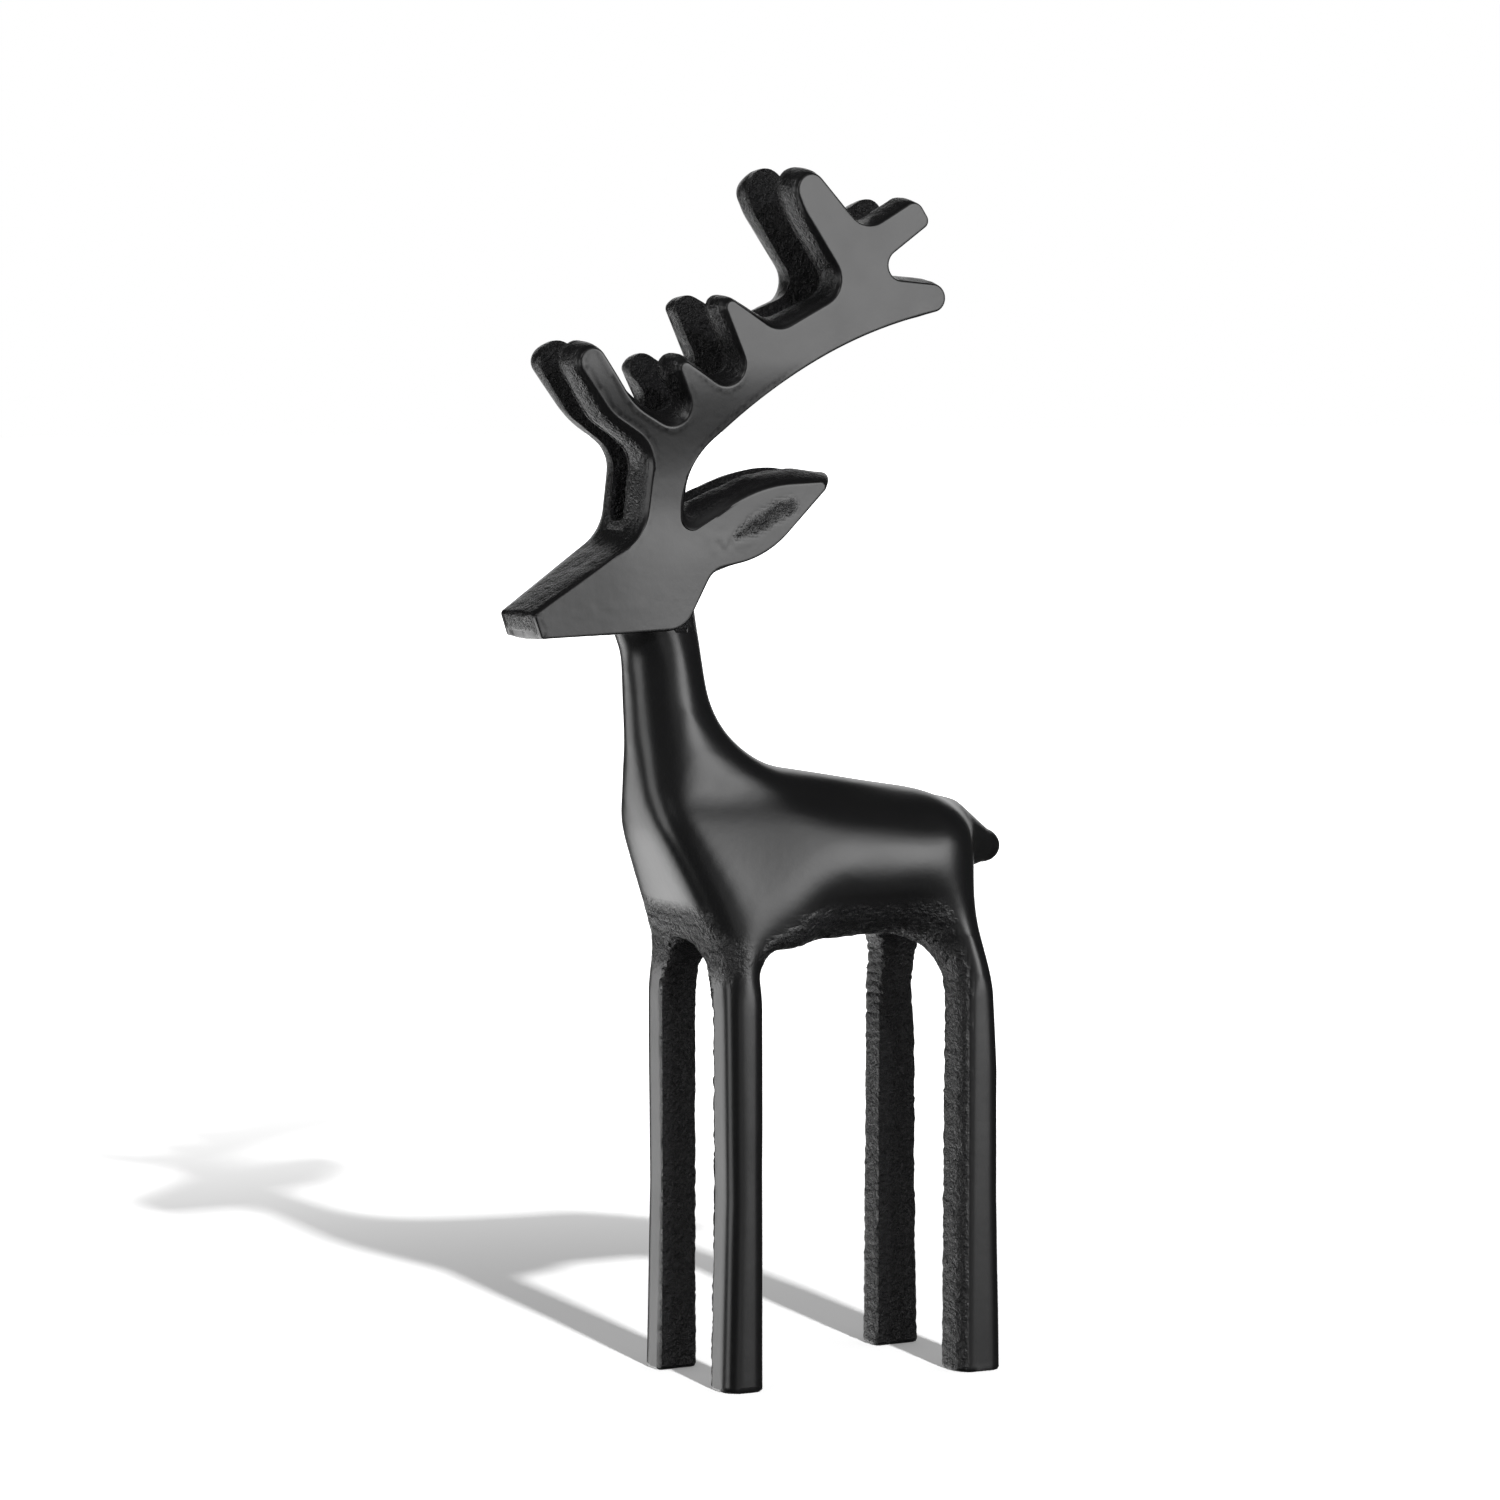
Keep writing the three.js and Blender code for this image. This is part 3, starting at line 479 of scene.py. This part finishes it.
def surface_nets(field, xs, ys, zs, passes=4, margin=0.05, free=0.05):
    """Closed surface where a field is zero: one point in each grid cell that the surface
    crosses, settled along the field's slope, and one face for each crossed grid edge."""
    axes = [xs, ys, zs]
    grid = np.meshgrid(*axes, indexing="ij")
    v = field(*grid)
    for a, b in ((0, 1), (1, 2), (0, 2)):
        part = [slice(0, -1) if k in (a, b) else slice(None) for k in range(3)]
        shift = lambda k, s: slice(1, None) if k in s else part[k]
        views = [v[tuple(shift(k, s) for k in range(3))] for s in ((), (a,), (a, b), (b,))]
        i = [w < 0 for w in views]
        bad = (i[0] == i[2]) & (i[1] == i[3]) & (i[0] != i[1])
        weak = np.argmin(np.abs(np.stack(views)), 0)
        for k, w in enumerate(views):
            w[bad & (weak == k)] *= -1
    inside = v < 0
    shape = tuple(s - 1 for s in v.shape)
    total, hits = np.zeros(shape + (3,)), np.zeros(shape)
    crossed = []
    for a in range(3):
        lo = tuple(slice(0, -1) if k == a else slice(None) for k in range(3))
        hi = tuple(slice(1, None) if k == a else slice(None) for k in range(3))
        cross = inside[lo] != inside[hi]
        t = np.where(cross, v[lo] / np.where(cross, v[lo] - v[hi], 1.0), 0.0)
        place = np.stack([g[lo] + t * (g[hi] - g[lo]) for g in grid], -1) * cross[..., None]
        b, c = [k for k in range(3) if k != a]
        for o in range(4):
            part = [slice(None)] * 3
            part[b] = slice(o & 1, v.shape[b] - 1 + (o & 1))
            part[c] = slice(o >> 1, v.shape[c] - 1 + (o >> 1))
            total += place[tuple(part)]
            hits += cross[tuple(part)]
        crossed.append((cross, inside[lo]))
    used = np.argwhere(hits > 0)
    index = np.full(shape, -1)
    index[tuple(used.T)] = np.arange(len(used))
    p = total[tuple(used.T)] / hits[tuple(used.T)][:, None]
    low = np.stack([axes[k][used[:, k]] for k in range(3)], 1)
    high = np.stack([axes[k][used[:, k] + 1] for k in range(3)], 1)
    room = (high - low) * margin
    for settle in range(passes + 2):
        g = slope(field, p)
        move = -g * (field(*p.T) / np.maximum((g * g).sum(1), 0.25))[:, None]
        if settle < passes:
            p = np.clip(p + move, low + room, high - room)
        else:
            p = p + np.clip(move, -free, free)
    faces = []
    for a, (cross, first) in enumerate(crossed):
        b, c = (a + 1) % 3, (a + 2) % 3
        at = np.argwhere(cross)
        at = at[(at[:, b] > 0) & (at[:, c] > 0)]
        unit = np.eye(3, dtype=int)
        around = [at - unit[b] - unit[c], at - unit[c], at, at - unit[b]]
        face = np.stack([index[tuple(q.T)] for q in around], 1)
        flip = ~first[tuple(at.T)]
        face[flip] = face[flip][:, ::-1]
        faces.append(face)
    return p, np.concatenate(faces)


def relaxed(p, faces, rounds):
    """Points after a low-pass filter 2 S - S S, where S moves each point halfway to the mean of
    its neighbours, that many times. Creases melt and the large form stays."""
    edges = np.concatenate([faces[:, [k, (k + 1) % 4]] for k in range(4)])
    a, b = np.concatenate([edges, edges[:, ::-1]]).T
    weight = np.bincount(a, minlength=len(p))[:, None]

    def smooth(q):
        """Half way to the mean of the neighbours, that many times."""
        for _ in range(rounds):
            mean = np.stack([np.bincount(a, q[b, k], len(q)) for k in range(3)], 1) / weight
            q = 0.5 * (q + mean)
        return q

    once = smooth(p)
    return 2.0 * once - smooth(once)


def cast_body(grain, ribs):
    """Neck, body, legs and tail, with the marks of the mould laid on along the normals: sand
    grain, and ribs on the front of the hind legs, cut where a cosine of the height is high."""
    outline = belt(BODY_PROFILE, 1.5, 0.12)[0]
    field = body_field(distance_map(outline, MAP_LOW, MAP_HIGH, MAP_STEP))
    xs, ys = (np.arange(BODY_LOW[k], BODY_HIGH[k], BODY_STEP) for k in (0, 1))
    zs = np.concatenate([np.arange(BODY_LOW[2], TORSO_FROM, LEG_LAYER),
                         np.arange(TORSO_FROM, BODY_HIGH[2], TORSO_LAYER)])
    p, faces = surface_nets(field, xs, ys, zs)
    torso = between(p[:, 2], (66.0, 76.0)) * between(p[:, 2], (134.0, 128.0))
    torso = torso * np.maximum(between(p[:, 0], (38.0, 33.0)), 0.15)
    p = p + torso[:, None] * (relaxed(p, faces, MELT_ROUNDS) - p)
    n = point_normals(p, faces)
    x, y, z = p.T
    lift = grain * BODY_GRAIN * cast_share(p, n) * sand_grain(x, y, z, 1.0)
    hind_front = ease((-n[:, 0] - 0.55) / 0.3) * between(x, (20.0, 27.0)) * between(z, (73.0, 69.0))
    strong = 0.25 + 0.75 * between(z, (50.0, 60.0)) * between(y, (-2.0, 2.0))
    wave = np.cos(2 * np.pi * (z + 0.25 * noise(x, y, z, 5.0, 20)) / RIB_PITCH)
    lift -= ribs * hind_front * strong * ease((wave - 0.35) / 0.6)
    lift += ribs * 0.6 * hind_front * noise(x * 0.4, y, z, 1.3, 21)
    calm = 0.03 * (noise(x, y, z, 9.0, 22) - 1.0)
    sole = ease((z - 0.1) / 1.0) * ease((NECK_TOP - 1 - z) / 2)
    p = p + n * ((lift + calm) * sole)[:, None]
    return make_mesh("cast_body", p, faces.tolist())


def cast_share(p, n):
    """1 where the casting kept the grain of its sand, 0 where it was ground and smoothed.

    On the body those are the tunnel between the legs, the front faces of the hind legs, a band
    under the belly and a patch above each elbow."""
    x, y, z = p.T
    wall = tunnel(x, y, z)
    inner = ease((0.9 - wall) / 0.8) * between(z, (0.0, 0.5)) * (z < 80)
    fronts = ease((-n[:, 0] - 0.5) / 0.3) * between(x, (18.0, 24.0)) * between(z, (76.0, 70.0))
    under = ease((-n[:, 2] - 0.1) / 0.4) * between(z, (60.0, 66.0)) * between(z, (81.0, 77.0))
    elbow = np.exp(-(((x + 15.5) / 3.0) ** 2 + ((z - 72.0) / 3.0) ** 2))
    return np.clip(np.maximum.reduce([inner, 0.5 * fronts, 0.9 * under, 0.9 * elbow]), 0, 1)


def cut(piece, tool, operation):
    """Joins or cuts two closed meshes, and keeps the result in the first."""
    change = piece.modifiers.new(operation, "BOOLEAN")
    change.operation, change.object, change.solver = operation, tool, "MANIFOLD"
    bpy.context.view_layer.update()
    mesh = bpy.data.meshes.new_from_object(piece.evaluated_get(bpy.context.evaluated_depsgraph_get()))
    piece.modifiers.clear()
    piece.data = mesh
    bpy.data.objects.remove(tool)
    if not len(mesh.polygons):
        raise RuntimeError(f"{operation} left nothing of {piece.name}")


def finish_casting(piece):
    """Centres the casting, marks its sharp edges and stores where it kept its grain: the walls of
    the slot, more weakly the walls of the tines and the ear hollows, and the body's own parts."""
    mesh = piece.data
    count = len(mesh.vertices)
    co = np.empty(count * 3, np.float32)
    mesh.vertices.foreach_get("co", co)
    p = co.reshape(-1, 3) / MM
    nor = np.empty(count * 3, np.float32)
    mesh.vertices.foreach_get("normal", nor)
    n = nor.reshape(-1, 3)
    x, y, z = p.T
    head = z > HEAD_FROM
    inside = half_thickness(x, z) - np.abs(y)
    slot = ease((inside - 4.9) / 0.5) * head * ease((z - slot_floor(x) + 1.2) / 0.6)
    wall = 0.3 * ease((inside - 0.5) / 1.5) * head
    ear = 0.35 * ear_share(x, z) * (inside < 0.6)
    grain = np.where(head, np.maximum.reduce([slot, wall, ear]), cast_share(p, n))
    attribute = mesh.attributes.new("grain", "FLOAT", "POINT")
    attribute.data.foreach_set("value", grain.astype(np.float32))
    co = (p + (CENTRE_SHIFT, 0.0, 0.0)) * MM
    mesh.vertices.foreach_set("co", co.astype(np.float32).ravel())
    mesh.shade_smooth()
    mesh.set_sharp_from_angle(angle=math.radians(SHARP_ANGLE))
    mesh.update()


def black_iron(colour, gloss, cast_gloss):
    """Black lacquer on iron: smooth and glossy where it was ground, grainy and duller where the
    sand's grain was left.

    Colour, gloss and bump go from their smooth value to their grainy one by the grain
    attribute, and a faint skin of the lacquer lies over both."""
    material = bpy.data.materials.new("black_cast_iron")
    material.use_nodes = True
    tree = material.node_tree
    nodes, links = tree.nodes, tree.links
    shader = nodes["Principled BSDF"]
    place = nodes.new("ShaderNodeTexCoord")
    grain = nodes.new("ShaderNodeAttribute")
    grain.attribute_name = "grain"

    def texture(scale, detail, roughness):
        """Noise in the casting's own space."""
        t = nodes.new("ShaderNodeTexNoise")
        t.inputs["Scale"].default_value = scale
        t.inputs["Detail"].default_value = detail
        t.inputs["Roughness"].default_value = roughness
        links.new(place.outputs["Object"], t.inputs["Vector"])
        return t.outputs["Fac"]

    def math_node(operation, a, b):
        """A sum or product of two values, each a number or another node's output."""
        m = nodes.new("ShaderNodeMath")
        m.operation = operation
        for socket, value in zip(m.inputs, (a, b)):
            if isinstance(value, float):
                socket.default_value = value
            else:
                links.new(value, socket)
        return m.outputs[0]

    def spread(value, low, high):
        """A value from 0 to 1, spread from low to high."""
        m = nodes.new("ShaderNodeMapRange")
        m.inputs["To Min"].default_value = low
        m.inputs["To Max"].default_value = high
        links.new(value, m.inputs["Value"])
        return m.outputs[0]

    tint = nodes.new("ShaderNodeMix")
    tint.data_type = "RGBA"
    tint.inputs["A"].default_value = (*colour, 1.0)
    tint.inputs["B"].default_value = (*(1.9 * c for c in colour), 1.0)
    links.new(math_node("MULTIPLY", grain.outputs["Fac"], texture(900.0, 3.0, 0.6)), tint.inputs["Factor"])
    links.new(tint.outputs["Result"], shader.inputs["Base Color"])

    cloud = texture(160.0, 2.0, 0.5)
    smooth_gloss = spread(cloud, gloss - 0.03, gloss + 0.03)
    dull = spread(texture(1500.0, 2.0, 0.6), cast_gloss - 0.1, cast_gloss + 0.1)
    gloss_mix = nodes.new("ShaderNodeMix")
    links.new(grain.outputs["Fac"], gloss_mix.inputs["Factor"])
    links.new(smooth_gloss, gloss_mix.inputs["A"])
    links.new(dull, gloss_mix.inputs["B"])
    links.new(gloss_mix.outputs["Result"], shader.inputs["Roughness"])

    fine = math_node("MULTIPLY", grain.outputs["Fac"], texture(1100.0, 3.0, 0.7))
    skin = math_node("MULTIPLY", texture(700.0, 2.0, 0.5), 0.011)
    height = math_node("ADD", fine, skin)
    bump = nodes.new("ShaderNodeBump")
    bump.inputs["Strength"].default_value = 1.0
    bump.inputs["Distance"].default_value = 0.0014
    links.new(height, bump.inputs["Height"])
    links.new(bump.outputs["Normal"], shader.inputs["Normal"])
    shader.inputs["Metallic"].default_value = 0.0
    shader.inputs["IOR"].default_value = 1.5
    shader.inputs["Specular IOR Level"].default_value = 0.55
    return material


# Floor: half its side in millimetres, its own glow, and how that glow rises with distance:
# from and to in metres, and by how much. The glow is painted light, weakest round the stag,
# so the floor is darker there and the shadow fades further off
FLOOR_HALF = 9000
FLOOR_GLOW = 0.2
FLOOR_RISES = ((0.06, 0.42, 0.75), (0.45, 1.5, 0.6))


def floor_with_painted_glow(colour):
    """White floor with painted light: it glows, least round the stag and more further off, so the
    floor is darker near the stag, the shadow fades with distance and the floor goes over into the
    white behind it. Its glow is a sum of smoothsteps of the distance from the middle."""
    material = bpy.data.materials.new("floor_with_painted_glow")
    material.use_nodes = True
    nodes, links = material.node_tree.nodes, material.node_tree.links
    shader = nodes["Principled BSDF"]
    shader.inputs["Base Color"].default_value = (*colour, 1.0)
    shader.inputs["Roughness"].default_value = 0.9
    shader.inputs["Specular IOR Level"].default_value = 0.0
    place = nodes.new("ShaderNodeTexCoord")
    length = nodes.new("ShaderNodeVectorMath")
    length.operation = "LENGTH"
    links.new(place.outputs["Object"], length.inputs[0])
    glow = None
    for start, end, strength in FLOOR_RISES:
        ramp = nodes.new("ShaderNodeMapRange")
        ramp.interpolation_type = "SMOOTHSTEP"
        ramp.inputs["From Min"].default_value = start
        ramp.inputs["From Max"].default_value = end
        ramp.inputs["To Max"].default_value = strength
        links.new(length.outputs["Value"], ramp.inputs["Value"])
        add = nodes.new("ShaderNodeMath")
        add.operation = "ADD"
        add.inputs[0].default_value = FLOOR_GLOW
        if glow:
            links.new(glow, add.inputs[0])
        links.new(ramp.outputs[0], add.inputs[1])
        glow = add.outputs[0]
    shader.inputs["Emission Color"].default_value = (1.0, 1.0, 1.0, 1.0)
    # painted light: the floor glows, less round the stag and more further off, so the shadow fades with
    # distance
    links.new(glow, shader.inputs["Emission Strength"])
    return material


def direction(azimuth, elevation):
    """Unit vector at an azimuth from -Y towards +X and an elevation, in degrees."""
    a, e = math.radians(azimuth), math.radians(elevation)
    return Vector((math.sin(a) * math.cos(e), -math.cos(a) * math.cos(e), math.sin(e)))


def aim(thing, place, target):
    """Puts a light or camera at a place, pointing at a target, both in millimetres."""
    place, target = Vector(place) * MM, Vector(target) * MM
    thing.location = place
    thing.rotation_euler = (target - place).to_track_quat("-Z", "Y").to_euler()


# Camera: where it looks, from which azimuth and elevation, how far off, and its focal length
LOOK_AT = (-2.6 + CENTRE_SHIFT, 0.0, 105.0)
LOOK_FROM, EYE_AWAY = (-28.5, 4.25), 900.0
SENSOR_WIDTH, FOCAL_PIXELS, FRAME_PIXELS = 36.0, 5400.0, 1500.0

# The light that casts the shadow, in millimetres
KEY_PLACE, KEY_TARGET, KEY_SIZE = (-334, -3208, 2050), (0, 0, 60), (130, 130)

# Soft boxes that the lacquer mirrors: name, azimuth and elevation as in direction, width and
# height in millimetres, and brightness. They stand BOX_AWAY from BOX_CENTRE.
BOX_AWAY, BOX_CENTRE = 1500.0, (0.0, 0.0, 105.0)
SOFT_BOXES = [
    ("front_core", 27, 9, (600, 620), 3.1),
    ("front_box", 23, 14, (950, 1200), 1.95),
    ("front_glow", 20, 18, (1500, 1900), 0.6),
    ("front_low", 25, -34, (1100, 500), 0.1),
    ("front_edge", -16, -14, (500, 900), 0.45),
    ("back_left_box", -148, -19, (800, 780), 2.8),
    ("high_left", -70, 38, (900, 500), 3.0),
    ("top", 0, 82, (1100, 600), 0.6),
    ("left_box", -91, -2, (620, 850), 2.7),
    ("floor_back", 180, -28, (1200, 420), 2.2),
    ("rear_box", 150, 6, (1000, 1300), 1.1),
    ("left_wall", -122, -8, (1300, 900), 0.2),
]


def panel_light(name, place, target, size, power, glossy, diffuse):
    """A rectangular studio light."""
    data = bpy.data.lights.new(name, "AREA")
    data.shape = "RECTANGLE"
    data.size, data.size_y = size[0] * MM, size[1] * MM
    data.energy = power
    light = bpy.data.objects.new(name, data)
    bpy.context.scene.collection.objects.link(light)
    aim(light, place, target)
    light.visible_camera = False
    light.visible_glossy = glossy
    light.visible_diffuse = diffuse
    return light


AIR_ON_FLOOR, AIR_IN_LACQUER = 0.24, 0.04  # brightness of the air as each of them meets it


def studio_air():
    """White all round for the eye, a plain soft glow on the floor, and near dark in the lacquer."""
    world = bpy.data.worlds.new("studio_air")
    bpy.context.scene.world = world
    world.use_nodes = True
    nodes, links = world.node_tree.nodes, world.node_tree.links
    nodes.clear()
    out = nodes.new("ShaderNodeOutputWorld")
    path = nodes.new("ShaderNodeLightPath")

    def background(strength):
        """Plain white of that strength."""
        b = nodes.new("ShaderNodeBackground")
        b.inputs["Color"].default_value = (1.0, 1.0, 1.0, 1.0)
        b.inputs["Strength"].default_value = strength
        return b.outputs[0]

    def mix(factor, a, b):
        """The first where the factor is 0, the second where it is 1."""
        m = nodes.new("ShaderNodeMixShader")
        links.new(factor, m.inputs[0])
        links.new(a, m.inputs[1])
        links.new(b, m.inputs[2])
        return m.outputs[0]

    around = mix(path.outputs["Is Glossy Ray"], background(AIR_ON_FLOOR), background(AIR_IN_LACQUER))
    links.new(mix(path.outputs["Is Camera Ray"], around, background(1.0)), out.inputs["Surface"])


def camera():
    """The camera at the photograph's viewing angle."""
    data = bpy.data.cameras.new("camera")
    data.sensor_width = SENSOR_WIDTH
    data.lens = SENSOR_WIDTH * FOCAL_PIXELS / FRAME_PIXELS
    data.clip_end = 20.0
    eye = bpy.data.objects.new("camera", data)
    bpy.context.scene.collection.objects.link(eye)
    target = Vector(LOOK_AT)
    aim(eye, target + direction(*LOOK_FROM) * EYE_AWAY, target)
    bpy.context.scene.camera = eye


class StagProperties(bpy.types.PropertyGroup):
    """Sizes and finish of the casting"""
    plate: bpy.props.FloatProperty(
        name="Plate", description="Thickness of an antler", default=0.0057, unit="LENGTH")
    edge: bpy.props.FloatProperty(
        name="Edge", description="Radius of the edges of the ground faces", default=0.0002, unit="LENGTH")
    swell: bpy.props.FloatProperty(
        name="Swell", description="Share of the growth towards the slot", default=1.0, subtype="FACTOR")
    wall_relief: bpy.props.FloatProperty(
        name="Wall relief", description="Height of the lumps on the walls", default=0.00016, unit="LENGTH")
    grain: bpy.props.FloatProperty(
        name="Grain", description="Height of the sand grain", default=0.00018, unit="LENGTH")
    ribs: bpy.props.FloatProperty(
        name="Ribs", description="Depth of the ribs on the hind legs", default=0.00022, unit="LENGTH")
    colour: bpy.props.FloatVectorProperty(
        name="Lacquer", description="Colour of the lacquer", default=(0.003, 0.003, 0.0032),
        size=3, subtype="COLOR")
    gloss: bpy.props.FloatProperty(
        name="Roughness", description="Roughness of the smooth lacquer", default=0.3, subtype="FACTOR")
    cast_gloss: bpy.props.FloatProperty(
        name="Cast roughness", description="Roughness of the grainy surface", default=0.34,
        subtype="FACTOR")


class StudioProperties(bpy.types.PropertyGroup):
    """Floor and lights"""
    floor: bpy.props.FloatVectorProperty(
        name="Floor", description="Colour of the floor", default=(0.88, 0.88, 0.88),
        size=3, subtype="COLOR")
    key: bpy.props.FloatProperty(
        name="Key", description="Power of the light that casts the shadow", default=200.0, subtype="POWER")
    side: bpy.props.FloatProperty(
        name="Soft boxes", description="Brightness of the soft boxes", default=1.0, subtype="FACTOR")


class STAG_OT_casting(bpy.types.Operator):
    """Casts the stag: head plate less the slot core, joined to the body"""
    bl_idname = "stag.casting"
    bl_label = "Cast the stag"

    def execute(self, context):
        s = context.scene.stag
        piece = head_plate(s.edge / MM, WALL_STEP, s.swell, s.wall_relief / MM)
        cut(piece, slot_core(s.plate / MM, s.grain / MM, CORE_STEP), "DIFFERENCE")
        cut(piece, cast_body(s.grain / MM, s.ribs / MM), "UNION")
        piece.name = piece.data.name = "stag"
        finish_casting(piece)
        piece.data.materials.clear()
        piece.data.materials.append(black_iron(s.colour, s.gloss, s.cast_gloss))
        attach(piece, "root")
        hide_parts(NODE)
        return {"FINISHED"}


class STAG_OT_studio(bpy.types.Operator):
    """Sets up the pale floor with its painted glow, the lights and the camera"""
    bl_idname = "stag.studio"
    bl_label = "Set up the studio"

    def execute(self, context):
        s = context.scene.stag_studio
        corners = [(-FLOOR_HALF, -FLOOR_HALF, 0), (FLOOR_HALF, -FLOOR_HALF, 0),
                   (FLOOR_HALF, FLOOR_HALF, 0), (-FLOOR_HALF, FLOOR_HALF, 0)]
        floor = make_mesh("floor", corners, [(0, 1, 2, 3)])
        floor.data.materials.append(floor_with_painted_glow(s.floor))
        floor.visible_glossy = False
        studio_air()
        panel_light("key", KEY_PLACE, KEY_TARGET, KEY_SIZE, s.key, False, True)
        for name, azimuth, elevation, size, brightness in SOFT_BOXES:
            place = direction(azimuth, elevation) * BOX_AWAY + Vector(BOX_CENTRE)
            power = math.pi * size[0] * size[1] * MM * MM * brightness * s.side
            panel_light(name, place, BOX_CENTRE, size, power, True, False)
        camera()
        context.scene.view_settings.view_transform = "Standard"
        return {"FINISHED"}


class STAG_PT_panel(bpy.types.Panel):
    """Lists the sizes, the finish and the lights, and the two operators"""
    bl_idname = "STAG_PT_panel"
    bl_label = "Stag"
    bl_space_type = "VIEW_3D"
    bl_region_type = "UI"
    bl_category = "Stag"

    def draw(self, context):
        for group, operator in (("stag", "stag.casting"), ("stag_studio", "stag.studio")):
            owner = getattr(context.scene, group)
            for name in owner.__annotations__:
                self.layout.prop(owner, name)
            self.layout.operator(operator)


CLASSES = (StagProperties, StudioProperties, STAG_OT_casting, STAG_OT_studio, STAG_PT_panel)


def register():
    for c in CLASSES:
        bpy.utils.register_class(c)
    bpy.types.Scene.stag = bpy.props.PointerProperty(type=StagProperties)
    bpy.types.Scene.stag_studio = bpy.props.PointerProperty(type=StudioProperties)


def unregister():
    del bpy.types.Scene.stag, bpy.types.Scene.stag_studio
    for c in reversed(CLASSES):
        bpy.utils.unregister_class(c)


def main():
    """Makes the stag and its studio."""
    register()
    bpy.ops.stag.casting()
    bpy.ops.stag.studio()


if __name__ == "__main__":
    main()
